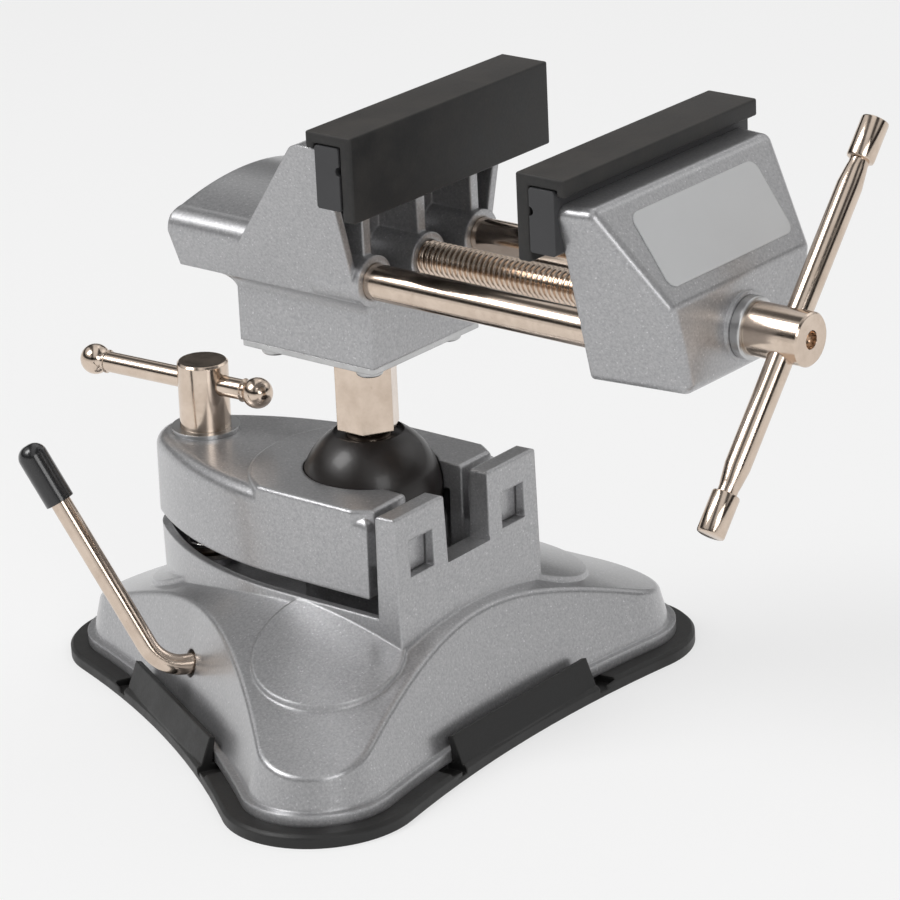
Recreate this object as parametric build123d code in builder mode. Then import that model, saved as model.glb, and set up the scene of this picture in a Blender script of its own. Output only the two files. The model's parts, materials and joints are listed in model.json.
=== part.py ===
from build123d import *
import math
import os

os.makedirs("parts", exist_ok=True)

# ---------------------------------------------------------------------------
# Driving dimensions, in millimetres and degrees.
# World frame: +Z up, origin on the bench below the ball, +X from the clamp
# screw towards the two posts.  The head is drawn in its own frame (origin at
# the ball centre, X along the screw, Z along the post) and placed once.
# ---------------------------------------------------------------------------

# vacuum base outline: three lobes joined by hollow sides
base_centre_x = -7.0
lobe_distance = 60.0
lobe_radius = 22.0
side_distance = 48.0
mat_thickness = 3.0
mat_flange = 4.3
mat_membrane = 2.0
tab_length = 50.0
tab_rise = 6.2
tab_thickness = 1.8
notch_length = 5.5

# base casting
foot_lip = 1.0
foot_height = 2.6
wall_slope = 14.0
casting_wall = 3.0
dome_top = 32.6
dome_shoulder_radius = 26.0
dome_slope = 0.41
tongue_height = 1.3
tongue_reach = 56.0
tongue_radius = 17.0

# upright body and its two posts
body_face_x = 26.6
body_half_width = 25.7
body_wall = 1.9
body_floor = 26.5
body_floor_thickness = 2.5
end_radius = 11.5
straight_side_end = -8.0
post_thickness = 5.9
post_top = 57.4
slot_half_width = 8.2
slot_floor = 41.5
rim_at_posts = 33.3
window_width = 8.5
window_height = 8.4
window_centre_y = 16.7
window_centre_z = 46.8

# ball joint
ball_radius = 15.875
ball_height = 52.0
socket_clearance = 0.25
seat_outer_radius = 14.6
seat_bore_radius = 8.0
seat_bottom = 35.5
seat_top = 44.0
pedestal_radius = 16.4

# clamp arm, drawn in its own frame with the lug centre as origin
arm_tilt = 2.1
lug_centre_x = 22.5
lug_inset = 2.4
lug_clearance = 0.3
arm_half_width = 24.2
arm_end_x = 17.4
arm_top = 9.7
arm_bottom = -10.2
arm_step = 1.3
plateau_radius = 27.5
arm_mouth_half_width = 10.2
arm_relief_radius = 17.4
arm_lip_height = 6.2

# clamp screw and its tommy bar
clamp_x = -48.4
clamp_head_radius = 5.9
clamp_head_height = 15.8
clamp_screw_radius = 3.97
clamp_washer_radius = 7.9
clamp_washer_thickness = 1.0
clamp_boss_radius = 7.5
clamp_bar_radius = 2.4
clamp_bar_span = 46.6
clamp_bar_shift = -8.0
clamp_bar_turn = 3.3
clamp_knob_radius = 3.6
clamp_bar_drop = 5.3
spring_wire_radius = 0.6
spring_coil_radius = 5.4
spring_turns = 4

# vacuum lever
lever_side = -2.5
lever_height = 15.5
lever_radius = 2.35
lever_out = 46.5
lever_bend_radius = 9.0
lever_length = 50.4
lever_lean = 20.4
lever_turn = 21.3
lever_cap_radius = 3.4
lever_cap_length = 14.5
lever_cap_overlap = 12.5
lever_boss_radius = 5.0
cam_radius = 3.9
cam_throw = 1.5
cam_thickness = 5.0
cam_phase = 45.0
disc_radius = 22.0
disc_thickness = 2.0

# head: post, plate and back jaw
hex_flats = 12.7
post_bottom = 14.9
plate_bottom = 35.8
plate_thickness = 1.3
block_rear = -19.5
block_front = 18.2
block_half_width = 18.7
block_shoulder = 49.5
flare_start = 53.4
flare_start_half_width = 22.6
flare_slope = 0.263
jaw_top = 90.3
jaw_top_rear = 10.5
rod_height = 57.5
rod_spacing = 18.4
rod_radius = 3.97
screw_radius = 3.97
running_clearance = 0.05
boss_radius = 5.7
boss_proud = 1.6
rib_width = 2.5
pocket_depth = 11.0
pocket_bottom = 53.5
pocket_top = 76.0
plate_screw_spacing = 27.0
plate_screw_radius = 2.0
plate_screw_head_radius = 3.0
plate_screw_head_height = 2.3
plate_screw_length = 8.0

# head: hood behind the back jaw
hood_rear = -33.5
hood_rear_foot = -32.4
hood_shoulder = 61.5
hood_crown = 70.4

# jaw inserts and rubber covers
insert_thickness = 6.4
insert_bottom = 78.0
insert_top = 91.7
insert_half_length = 33.6
cover_wall = 3.2
cover_gap = 0.2
cover_top = 94.35
cover_bottom = 75.7
cover_half_length = 33.4
cover_lip = 2.1
cover_lip_bottom = 90.6

# front jaw
jaw_gap = 43.0
front_depth = 22.8
front_ledge = 7.4
front_top = 88.3
label_foot = 68.2
front_foot = 48.9
front_belly = 0.8
front_base_half_width = 28.0
front_flare = 0.25
front_taper = 0.13
front_nose = 21.7
label_width = 43.2
label_height = 17.3
label_thickness = 0.25

# guide rods, lead screw, hub and handle
rod_rear = -14.0
rod_socket = 15.5
screw_rear = -12.0
screw_pitch = 1.411
collar_radius = 6.7
collar_thickness = 2.4
hub_radius = 5.75
hub_length = 15.7
hub_bore_radius = 2.0
hub_bore_depth = 5.0
handle_from_face = 10.4
handle_radius = 2.75
handle_length = 93.7
handle_shift = 2.2
handle_angle = 40.8
handle_neck_radius = 2.1
handle_neck_length = 6.0
handle_cap_radius = 3.0
handle_cap_length = 9.2
clip_radius = 6.2
clip_thickness = 1.0
clip_recess = 4.0

# resting attitude of the head on its ball
head_lean_side = 0.4
head_lean_front = 1.5
head_turn = -1.5

# ---------------------------------------------------------------------------
# Derived frames and helpers
# ---------------------------------------------------------------------------

head_pose = Location((0, 0, ball_height), (head_lean_side, head_lean_front, head_turn))
arm_pose = Location((lug_centre_x, 0, window_centre_z), (0, arm_tilt, 0))
base_centre = Vector(base_centre_x, 0, 0)
front_face = block_front + cover_gap + insert_thickness + cover_wall
opposite_face = front_face + jaw_gap
front_casting = opposite_face + cover_wall + cover_gap + insert_thickness
hub_face = front_casting + front_depth
handle_x = hub_face + handle_from_face
tan_slope = math.tan(math.radians(wall_slope))

chord_x = lobe_distance * math.cos(math.radians(60))
chord_y = lobe_distance * math.sin(math.radians(60))
hollow_reach = side_distance - lobe_radius
hollow_centre = (chord_x**2 + chord_y**2 - hollow_reach**2) / (2 * (chord_x - hollow_reach))
hollow_radius = hollow_centre - side_distance


def polar(radius, degrees):
    """Point of the base plane at a radius and a heading from the base centre."""
    angle = math.radians(degrees)
    return base_centre + Vector(radius * math.cos(angle), radius * math.sin(angle), 0)


def lobed_line(inset):
    """Three rounded lobes joined by hollow sides, drawn inset from the mat's edge."""
    lobe = lobe_radius - inset
    hollow = hollow_radius + inset
    for k in range(3):
        tip = 180 + 120 * k
        lobe_centre = polar(lobe_distance, tip)
        before = polar(hollow_centre, tip - 60)
        after = polar(hollow_centre, tip + 60)
        start = lobe_centre + (before - lobe_centre).normalized() * lobe
        end = lobe_centre + (after - lobe_centre).normalized() * lobe
        next_lobe = polar(lobe_distance, tip + 120)
        next_start = next_lobe + (after - next_lobe).normalized() * lobe
        ThreePointArc(start, polar(lobe_distance + lobe, tip), end)
        ThreePointArc(end, polar(hollow_centre - hollow, tip + 60), next_start)


def boat_line(front_x, half_width, round_end):
    """Boat-shaped plan: square at the posts, rounded about the clamp screw."""
    side_x = straight_side_end
    run = side_x - clamp_x
    sweep_radius = (run**2 + half_width**2 - round_end**2) / (2 * (half_width - round_end))
    centre_y = half_width - sweep_radius
    reach = sweep_radius / (sweep_radius - round_end)
    touch = Vector(side_x + (clamp_x - side_x) * reach, centre_y - centre_y * reach)
    middle_angle = (math.pi / 2 + math.atan2(touch.Y - centre_y, touch.X - side_x)) / 2
    middle = Vector(
        side_x + sweep_radius * math.cos(middle_angle),
        centre_y + sweep_radius * math.sin(middle_angle),
    )
    flip = lambda p: Vector(p.X, -p.Y)
    corner = Vector(front_x, half_width)
    shoulder = Vector(side_x, half_width)
    Line(corner, shoulder)
    ThreePointArc(shoulder, middle, touch)
    ThreePointArc(touch, Vector(clamp_x - round_end, 0), flip(touch))
    ThreePointArc(flip(touch), flip(middle), flip(shoulder))
    Line(flip(shoulder), flip(corner))
    Line(flip(corner), corner)


def dome_line(drop):
    """Half section of the dome about the base centre, lowered by a drop."""
    rim = lobe_distance + lobe_radius + 8
    rim_z = dome_top - dome_slope * (rim - dome_shoulder_radius) - drop
    crown = base_centre_x + dome_shoulder_radius
    Polyline(
        (base_centre_x, 0),
        (base_centre_x + rim, 0),
        (base_centre_x + rim, rim_z),
        (crown, dome_top - drop),
        (base_centre_x, dome_top - drop),
        close=True,
    )


def save(piece, node, pose=Location()):
    """Label a finished piece, place it and write its STEP file."""
    placed = piece.moved(pose)
    placed.label = node
    export_step(placed, f"parts/{node}.step")


# ---------------------------------------------------------------------------
# Base casting
# ---------------------------------------------------------------------------

casting_inset = mat_flange + foot_lip
base_axis = Axis((base_centre_x, 0, 0), (0, 0, 1))
shell_height = dome_top + 4

with BuildPart() as base_hollow:
    with BuildSketch(Plane.XY.offset(mat_thickness)):
        with BuildLine():
            lobed_line(casting_inset + casting_wall)
        make_face()
    with BuildSketch(Plane.XY.offset(mat_thickness + shell_height)):
        with BuildLine():
            lobed_line(casting_inset + casting_wall + shell_height * tan_slope)
        make_face()
    loft(ruled=True)
    with BuildSketch(Plane.XZ):
        with BuildLine():
            dome_line(casting_wall)
        make_face()
    revolve(axis=base_axis, mode=Mode.INTERSECT)
    with BuildSketch(Plane.XY.offset(body_floor - body_floor_thickness)):
        with BuildLine():
            boat_line(body_face_x, body_half_width, end_radius)
        make_face()
    extrude(amount=shell_height, mode=Mode.SUBTRACT)

with BuildPart() as tongues:
    with BuildSketch(Plane.XY.offset(mat_thickness)):
        for heading in (60, 180, 300):
            with Locations(polar(tongue_reach - tongue_radius, heading)):
                Circle(tongue_radius)
    extrude(amount=shell_height)
    with BuildSketch(Plane.XZ):
        with BuildLine():
            dome_line(-tongue_height)
        make_face()
    revolve(axis=base_axis, mode=Mode.INTERSECT)

wall_headings = (0, 120, 240)
lever_axis = Vector(math.cos(math.radians(240)), math.sin(math.radians(240)), 0)
lever_across = Vector(-lever_axis.Y, lever_axis.X, 0)
lever_centre = base_centre + lever_across * lever_side + Vector(0, 0, lever_height)
lever_plane = Plane(origin=lever_centre, x_dir=lever_across, z_dir=lever_axis)
rim_plane = Plane(
    origin=(body_face_x - post_thickness, 0, rim_at_posts),
    x_dir=(math.cos(math.radians(arm_tilt)), 0, -math.sin(math.radians(arm_tilt))),
    z_dir=(math.sin(math.radians(arm_tilt)), 0, math.cos(math.radians(arm_tilt))),
)

with BuildPart() as base_casting:
    # drafted three-lobed shell under a shallow dome
    with BuildSketch(Plane.XY.offset(mat_thickness)):
        with BuildLine():
            lobed_line(casting_inset)
        make_face()
    with BuildSketch(Plane.XY.offset(mat_thickness + shell_height)):
        with BuildLine():
            lobed_line(casting_inset + shell_height * tan_slope)
        make_face()
    loft(ruled=True)
    with BuildSketch(Plane.XZ):
        with BuildLine():
            dome_line(0)
        make_face()
    revolve(axis=base_axis, mode=Mode.INTERSECT)
    crest = base_casting.edges().filter_by(lambda e: e.center().Z > mat_thickness + 1)
    crest = crest.filter_by(lambda e: (e.center() - base_centre).length > dome_shoulder_radius + 4)
    fillet(crest, radius=1.6)
    # raised tongues on the lobes and the lip around the foot
    add(tongues.part)
    with BuildSketch(Plane.XY.offset(mat_thickness)):
        with BuildLine():
            lobed_line(mat_flange)
        make_face()
    extrude(amount=foot_height)
    # upright body with the two posts
    with BuildSketch(Plane.XY.offset(mat_thickness + foot_height)):
        with BuildLine():
            boat_line(body_face_x, body_half_width, end_radius)
        make_face()
    extrude(amount=post_top - mat_thickness - foot_height)
    with BuildSketch(rim_plane):
        with Locations((-60, 0)):
            Rectangle(120, 80)
    extrude(amount=60, mode=Mode.SUBTRACT)
    # well inside the body, leaving the rim wall and the post wall
    with BuildSketch(Plane.XY.offset(body_floor)):
        with BuildLine():
            boat_line(body_face_x - post_thickness, body_half_width - body_wall, end_radius - body_wall)
        make_face()
    extrude(amount=40, mode=Mode.SUBTRACT)
    add(base_hollow.part, mode=Mode.SUBTRACT)
    # slot between the posts
    with BuildSketch(Plane.YZ.offset(body_face_x - post_thickness - 1)):
        with BuildLine():
            Polyline(
                (-slot_half_width, post_top + 5),
                (-slot_half_width + 0.5, slot_floor),
                (slot_half_width - 0.5, slot_floor),
                (slot_half_width, post_top + 5),
                close=True,
            )
        make_face()
    extrude(amount=post_thickness + 4, mode=Mode.SUBTRACT)
    # windows for the clamp arm's lugs
    with BuildSketch(Plane.YZ.offset(body_face_x - post_thickness - 1)):
        for side in (-1, 1):
            with Locations((side * window_centre_y, window_centre_z)):
                Rectangle(window_width, window_height)
    extrude(amount=post_thickness + 4, mode=Mode.SUBTRACT)
    # pedestal with the recess for the ball seat
    with BuildSketch(Plane.XY.offset(body_floor - 1)):
        Circle(pedestal_radius)
    extrude(amount=seat_top + 0.4 - body_floor + 1)
    with BuildSketch(Plane.XY.offset(seat_bottom)):
        Circle(seat_outer_radius + running_clearance)
    extrude(amount=20, mode=Mode.SUBTRACT)
    with BuildSketch(Plane.XY.offset(body_floor + 1.5)):
        Circle(seat_bore_radius)
    extrude(amount=20, mode=Mode.SUBTRACT)
    with Locations((0, 0, ball_height)):
        Sphere(ball_radius + 2 * socket_clearance, mode=Mode.SUBTRACT)
    # boss that the clamp screw threads into
    with BuildSketch(Plane.XY.offset(body_floor - body_floor_thickness - 8)):
        with Locations((clamp_x, 0)):
            Circle(clamp_boss_radius)
    extrude(amount=body_floor_thickness + 9.5)
    # bearing boss for the vacuum lever
    with BuildSketch(lever_plane.offset(25)):
        Circle(lever_boss_radius)
    extrude(amount=13)
    with BuildSketch(lever_plane.offset(20)):
        Circle(lever_radius + running_clearance)
    extrude(amount=40, mode=Mode.SUBTRACT)
    with BuildSketch(lever_plane.offset(36)):
        Circle(lever_radius + 0.8)
    extrude(amount=20, mode=Mode.SUBTRACT)
    # rounded outer edges of the posts and of the rim
    post_edges = base_casting.edges().group_by(Axis.Z)[-1]
    fillet(post_edges, radius=0.6)
    # bore of the clamp screw, square to the clamp arm
    with Locations(arm_pose):
        with Locations((clamp_x - lug_centre_x, 0, -30)):
            Cylinder(clamp_screw_radius + 1.1, 60, mode=Mode.SUBTRACT)
post_zone = Pos(body_face_x, 0, slot_floor) * Box(
    2 * (post_thickness + 1), 4 * body_half_width, 60, align=(Align.CENTER, Align.CENTER, Align.MIN)
)
posts = (base_casting.part & post_zone).solids().sort_by(Axis.Y)
save(base_casting.part - post_zone, "base_casting")
save(posts[0], "post_near")
save(posts[-1], "post_far")

# ---------------------------------------------------------------------------
# Rubber mat with pull tabs, suction disc and its puller
# ---------------------------------------------------------------------------

with BuildPart() as vacuum_mat:
    with BuildSketch():
        with BuildLine():
            lobed_line(0)
        make_face()
    extrude(amount=mat_thickness)
    top_rim = vacuum_mat.faces().sort_by(Axis.Z)[-1].edges()
    chamfer(top_rim, length=0.7)
    with BuildSketch(Plane.XY.offset(mat_membrane)):
        with BuildLine():
            lobed_line(mat_flange + 5)
        make_face()
    extrude(amount=mat_thickness, mode=Mode.SUBTRACT)
    for heading in wall_headings:
        tab_plane = Plane(
            origin=base_centre,
            x_dir=(math.cos(math.radians(heading)), math.sin(math.radians(heading)), 0),
            z_dir=(math.sin(math.radians(heading)), -math.cos(math.radians(heading)), 0),
        )
        outer = side_distance - 0.1
        inner = side_distance - mat_flange + 0.5
        with BuildSketch(tab_plane):
            with BuildLine():
                Polyline(
                    (outer, mat_thickness - 1.4),
                    (outer, mat_thickness),
                    (inner + tab_thickness * 0.7, mat_thickness + tab_rise),
                    (inner, mat_thickness + tab_rise - 0.4),
                    (inner + 1.5, mat_thickness - 1.4),
                    close=True,
                )
            make_face()
        extrude(amount=tab_length / 2, both=True)
        with BuildSketch(Plane(origin=(0, 0, mat_membrane - 0.8), z_dir=(0, 0, 1))):
            for side in (-1, 1):
                spot = polar(side_distance - 1.6, heading)
                along = Vector(-math.sin(math.radians(heading)), math.cos(math.radians(heading)), 0)
                place = spot + along * side * (tab_length + notch_length) / 2
                with Locations(Location(place, (0, 0, heading))):
                    Rectangle(mat_flange + 1.2, notch_length)
        extrude(amount=mat_thickness, mode=Mode.SUBTRACT)
save(vacuum_mat.part, "vacuum_mat")

disc_bottom = mat_membrane + 0.05
with BuildPart() as suction_disc:
    with BuildSketch(Plane.XY.offset(disc_bottom)):
        with Locations(base_centre):
            Circle(disc_radius)
    extrude(amount=disc_thickness)
    chamfer(suction_disc.edges().group_by(Axis.Z)[-1], length=0.5)
save(suction_disc.part, "suction_disc")

cam_angle = math.radians(cam_phase)
cam_centre = lever_centre - lever_across * cam_throw * math.cos(cam_angle)
cam_centre -= Vector(0, 0, cam_throw * math.sin(cam_angle))
yoke_half_height = cam_radius + 0.3 + 1.6
yoke_half_width = cam_radius + 0.3 + cam_throw + 1.8
stroke = 2 * cam_throw * math.sin(cam_angle)
disc_top = disc_bottom + disc_thickness

with BuildPart() as puller_yoke:
    with BuildSketch(Plane.XY.offset(disc_top)):
        with Locations(base_centre):
            Circle(11)
    extrude(amount=1.6)
    with BuildSketch(Plane.XY.offset(disc_top + 1)):
        with Locations(base_centre):
            Circle(3.6)
    extrude(amount=cam_centre.Z - yoke_half_height - disc_top)
    yoke_plane = Plane(
        origin=base_centre + lever_across * lever_side + Vector(0, 0, cam_centre.Z),
        x_dir=lever_across,
        z_dir=lever_axis,
    )
    with BuildSketch(yoke_plane):
        Rectangle(2 * yoke_half_width, 2 * yoke_half_height)
        Rectangle(2 * yoke_half_width - 3.6, 2 * yoke_half_height - 3.2, mode=Mode.SUBTRACT)
    extrude(amount=cam_thickness / 2 - 0.4, both=True)
save(puller_yoke.part, "puller_yoke")

# ---------------------------------------------------------------------------
# Vacuum lever: bent rod, cam and cap
# ---------------------------------------------------------------------------

lean = math.radians(lever_lean)
turn = math.radians(lever_turn)
lever_rise = lever_axis * math.sin(lean)
lever_rise -= lever_across * math.cos(lean) * math.sin(turn)
lever_rise += Vector(0, 0, math.cos(lean) * math.cos(turn))
lever_start = lever_centre - lever_axis * (cam_thickness / 2)
lever_corner = lever_centre + lever_axis * lever_out
bend_angle = math.acos(lever_axis.dot(lever_rise))
bend_cut = lever_bend_radius * math.tan(bend_angle / 2)
lever_end = lever_corner + lever_rise * (lever_length + bend_cut)

with BuildPart() as lever_rod:
    with BuildLine() as lever_path:
        FilletPolyline(lever_start, lever_corner, lever_end, radius=lever_bend_radius)
    with BuildSketch(Plane(origin=lever_start, z_dir=lever_axis)):
        Circle(lever_radius)
    sweep()
save(lever_rod.part, "lever_rod")

with BuildPart() as lever_cam:
    with BuildSketch(Plane(origin=cam_centre, x_dir=lever_across, z_dir=lever_axis)):
        Circle(cam_radius)
    extrude(amount=cam_thickness / 2, both=True)
    with BuildSketch(Plane(origin=lever_centre, x_dir=lever_across, z_dir=lever_axis)):
        Circle(lever_radius)
    extrude(amount=cam_thickness, both=True, mode=Mode.SUBTRACT)
save(lever_cam.part, "lever_cam")

cap_base = lever_end - lever_rise * lever_cap_overlap
with BuildPart() as lever_cap:
    with BuildSketch(Plane(origin=cap_base, z_dir=lever_rise)):
        Circle(lever_cap_radius)
    extrude(amount=lever_cap_length)
    fillet(lever_cap.faces().sort_by(Axis.Z)[-1].edges(), radius=lever_cap_radius - 0.5)
    with BuildSketch(Plane(origin=cap_base, z_dir=lever_rise)):
        Circle(lever_radius)
    extrude(amount=lever_cap_overlap, mode=Mode.SUBTRACT)
save(lever_cap.part, "lever_cap")

# ---------------------------------------------------------------------------
# Ball seat and ball
# ---------------------------------------------------------------------------

with BuildPart() as ball_seat:
    with BuildSketch(Plane.XY.offset(seat_bottom)):
        Circle(seat_outer_radius)
        Circle(seat_bore_radius, mode=Mode.SUBTRACT)
    extrude(amount=seat_top - seat_bottom)
    with Locations((0, 0, ball_height)):
        Sphere(ball_radius + socket_clearance, mode=Mode.SUBTRACT)
save(ball_seat.part, "ball_seat")

stem_radius = 5.0
stem_depth = 12.0
ball_mouth_radius = 7.9
with BuildPart() as ball:
    Sphere(ball_radius)
    with Locations((0, 0, post_bottom - 2.2)):
        Cylinder(ball_mouth_radius, 10, align=(Align.CENTER, Align.CENTER, Align.MIN), mode=Mode.SUBTRACT)
    with Locations((0, 0, post_bottom - stem_depth)):
        Cylinder(
            stem_radius + running_clearance,
            20,
            align=(Align.CENTER, Align.CENTER, Align.MIN),
            mode=Mode.SUBTRACT,
        )
save(ball.part, "ball", head_pose)

# ---------------------------------------------------------------------------
# Clamp arm, washer, screw, spring and tommy bar, in the arm frame
# ---------------------------------------------------------------------------

arm_ball = Vector(0, 0, ball_height) - Vector(lug_centre_x, 0, window_centre_z)
arm_ball = Vector(
    arm_ball.X * math.cos(math.radians(arm_tilt)) - arm_ball.Z * math.sin(math.radians(arm_tilt)),
    0,
    arm_ball.X * math.sin(math.radians(arm_tilt)) + arm_ball.Z * math.cos(math.radians(arm_tilt)),
)
clamp_arm_x = clamp_x - lug_centre_x
arm_shift = Plane(origin=(-lug_centre_x, 0, arm_bottom))
lug_top = window_height / 2 - lug_clearance
lug_half = window_width / 2 - lug_clearance
lug_tip = body_face_x - lug_inset - lug_centre_x

with BuildPart() as plateau:
    with BuildSketch(arm_shift):
        with BuildLine():
            boat_line(arm_end_x, arm_half_width, end_radius)
        make_face()
        with Locations((arm_ball.X + lug_centre_x, 0)):
            Circle(plateau_radius, mode=Mode.INTERSECT)
    extrude(amount=arm_top - arm_bottom)
    fillet(plateau.edges().group_by(Axis.Z)[-1], radius=1.0)

with BuildPart() as clamp_arm:
    with BuildSketch(arm_shift):
        with BuildLine():
            boat_line(arm_end_x, arm_half_width, end_radius)
        make_face()
    extrude(amount=arm_top - arm_step - arm_bottom)
    fillet(clamp_arm.edges().group_by(Axis.Z)[-1], radius=3.2)
    add(plateau.part)
    with BuildSketch(Plane.YZ.offset(arm_end_x - lug_centre_x - 1)):
        for side in (-1, 1):
            with Locations((side * window_centre_y, 0)):
                Rectangle(2 * lug_half, 2 * lug_top)
    extrude(amount=lug_tip - (arm_end_x - lug_centre_x - 1))
    # ball socket: lip that bears on the ball above its middle, relief below, open mouth
    with Locations(arm_ball):
        Sphere(ball_radius + socket_clearance, mode=Mode.SUBTRACT)
    with BuildSketch(arm_shift.offset(-1)):
        with Locations((arm_ball.X + lug_centre_x, 0)):
            Circle(arm_relief_radius)
    extrude(amount=arm_top - arm_lip_height - arm_bottom + 1, mode=Mode.SUBTRACT)
    with BuildSketch(arm_shift.offset(-1)):
        with Locations((arm_ball.X + lug_centre_x + 20, 0)):
            Rectangle(40, 2 * arm_mouth_half_width)
    extrude(amount=arm_top - arm_bottom + 5, mode=Mode.SUBTRACT)
    with Locations((clamp_arm_x, 0, 0)):
        Cylinder(clamp_screw_radius + running_clearance, 60, mode=Mode.SUBTRACT)
save(clamp_arm.part, "clamp_arm", arm_pose)

seat_z = arm_top - arm_step
with BuildPart() as clamp_washer:
    with BuildSketch(Plane.XY.offset(seat_z)):
        with Locations((clamp_arm_x, 0)):
            Circle(clamp_washer_radius)
            Circle(clamp_screw_radius + running_clearance, mode=Mode.SUBTRACT)
    extrude(amount=clamp_washer_thickness)
save(clamp_washer.part, "clamp_washer", arm_pose)

head_seat = seat_z + clamp_washer_thickness
clamp_bar_z = head_seat + clamp_head_height - clamp_bar_drop
bar_heading = math.radians(clamp_bar_turn)
bar_axis = Vector(math.cos(bar_heading), math.sin(bar_heading), 0)
bar_plane = Plane(origin=(clamp_arm_x, 0, clamp_bar_z), z_dir=bar_axis)
clamp_shank = head_seat - (body_floor - body_floor_thickness - 6 - window_centre_z)

with BuildPart() as clamp_screw:
    with BuildSketch(Plane.XY.offset(head_seat)):
        with Locations((clamp_arm_x, 0)):
            Circle(clamp_head_radius)
    extrude(amount=clamp_head_height)
    chamfer(clamp_screw.edges().group_by(Axis.Z)[-1], length=0.5)
    with BuildSketch(Plane.XY.offset(head_seat)):
        with Locations((clamp_arm_x, 0)):
            Circle(clamp_screw_radius)
    extrude(amount=-clamp_shank)
    chamfer(clamp_screw.edges().group_by(Axis.Z)[0], length=0.8)
    with BuildSketch(bar_plane):
        Circle(clamp_bar_radius + running_clearance)
    extrude(amount=clamp_head_radius + 2, both=True, mode=Mode.SUBTRACT)
save(clamp_screw.part, "clamp_screw", arm_pose)

bar_middle = Vector(clamp_arm_x, 0, clamp_bar_z) + bar_axis * clamp_bar_shift
with BuildPart() as clamp_bar:
    with BuildSketch(Plane(origin=bar_middle, z_dir=bar_axis)):
        Circle(clamp_bar_radius)
    extrude(amount=clamp_bar_span / 2 - 0.5, both=True)
save(clamp_bar.part, "clamp_bar", arm_pose)

with BuildPart() as one_knob:
    Sphere(clamp_knob_radius)
    with BuildSketch(Plane.XY.offset(0.5)):
        Circle(clamp_bar_radius)
    extrude(amount=10, mode=Mode.SUBTRACT)

with BuildPart() as clamp_knobs:
    for side in (-1, 1):
        knob_centre = bar_middle + bar_axis * (side * clamp_bar_span / 2)
        inward = Plane(origin=knob_centre, z_dir=bar_axis * -side)
        add(one_knob.part.moved(inward.location))
save(clamp_knobs.part, "clamp_knobs", arm_pose)

arm_end_lift = (lug_centre_x - clamp_x) * math.sin(math.radians(arm_tilt))
spring_bottom = body_floor + 1.8 - window_centre_z - arm_end_lift
spring_height = arm_bottom - spring_bottom - 0.1
with BuildPart() as clamp_spring:
    spring_pitch = (spring_height - 2 * spring_wire_radius) / spring_turns
    with BuildLine(Plane(origin=(clamp_arm_x, 0, spring_bottom + spring_wire_radius))):
        coil = Helix(spring_pitch, spring_pitch * spring_turns, spring_coil_radius)
    with BuildSketch(Plane(origin=coil @ 0, z_dir=coil % 0)):
        Circle(spring_wire_radius)
    sweep(is_frenet=True)
save(clamp_spring.part, "clamp_spring", arm_pose)

# ---------------------------------------------------------------------------
# Head, in the head frame: hex post, plate, plate screws
# ---------------------------------------------------------------------------

with BuildPart() as hex_post:
    with BuildSketch(Plane.XY.offset(post_bottom)):
        RegularPolygon(hex_flats / math.sqrt(3), 6)
    extrude(amount=plate_bottom - post_bottom)
    with BuildSketch(Plane.XY.offset(post_bottom)):
        Circle(stem_radius)
    extrude(amount=-(stem_depth - 1))
save(hex_post.part, "hex_post", head_pose)

block_centre = (block_rear + block_front) / 2
block_length = block_front - block_rear
with BuildPart() as mounting_plate:
    with BuildSketch(Plane.XY.offset(plate_bottom)):
        with Locations((block_centre, 0)):
            RectangleRounded(block_length, 2 * block_half_width, 1.2)
        with Locations((block_centre, 0)):
            with GridLocations(plate_screw_spacing, plate_screw_spacing, 2, 2):
                Circle(plate_screw_radius + 0.1, mode=Mode.SUBTRACT)
    extrude(amount=plate_thickness)
save(mounting_plate.part, "mounting_plate", head_pose)

with BuildPart() as plate_screws:
    with BuildSketch(Plane.XY.offset(plate_bottom - plate_screw_head_height)):
        with Locations((block_centre, 0)):
            with GridLocations(plate_screw_spacing, plate_screw_spacing, 2, 2):
                Circle(plate_screw_head_radius)
    extrude(amount=plate_screw_head_height)
    fillet(plate_screws.edges().group_by(Axis.Z)[0], radius=0.8)
    with BuildSketch(Plane.XY.offset(plate_bottom)):
        with Locations((block_centre, 0)):
            with GridLocations(plate_screw_spacing, plate_screw_spacing, 2, 2):
                Circle(plate_screw_radius)
    extrude(amount=plate_screw_length)
save(plate_screws.part, "plate_screws", head_pose)

# ---------------------------------------------------------------------------
# Back jaw casting with its hood
# ---------------------------------------------------------------------------

block_bottom = plate_bottom + plate_thickness
flare_top_half_width = flare_start_half_width + flare_slope * (jaw_top - flare_start)
rod_sides = (-rod_spacing, 0, rod_spacing)



def flare(height):
    """Half width of the flared upper part of the back jaw at a height."""
    return flare_start_half_width + flare_slope * (height - flare_start)


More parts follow.
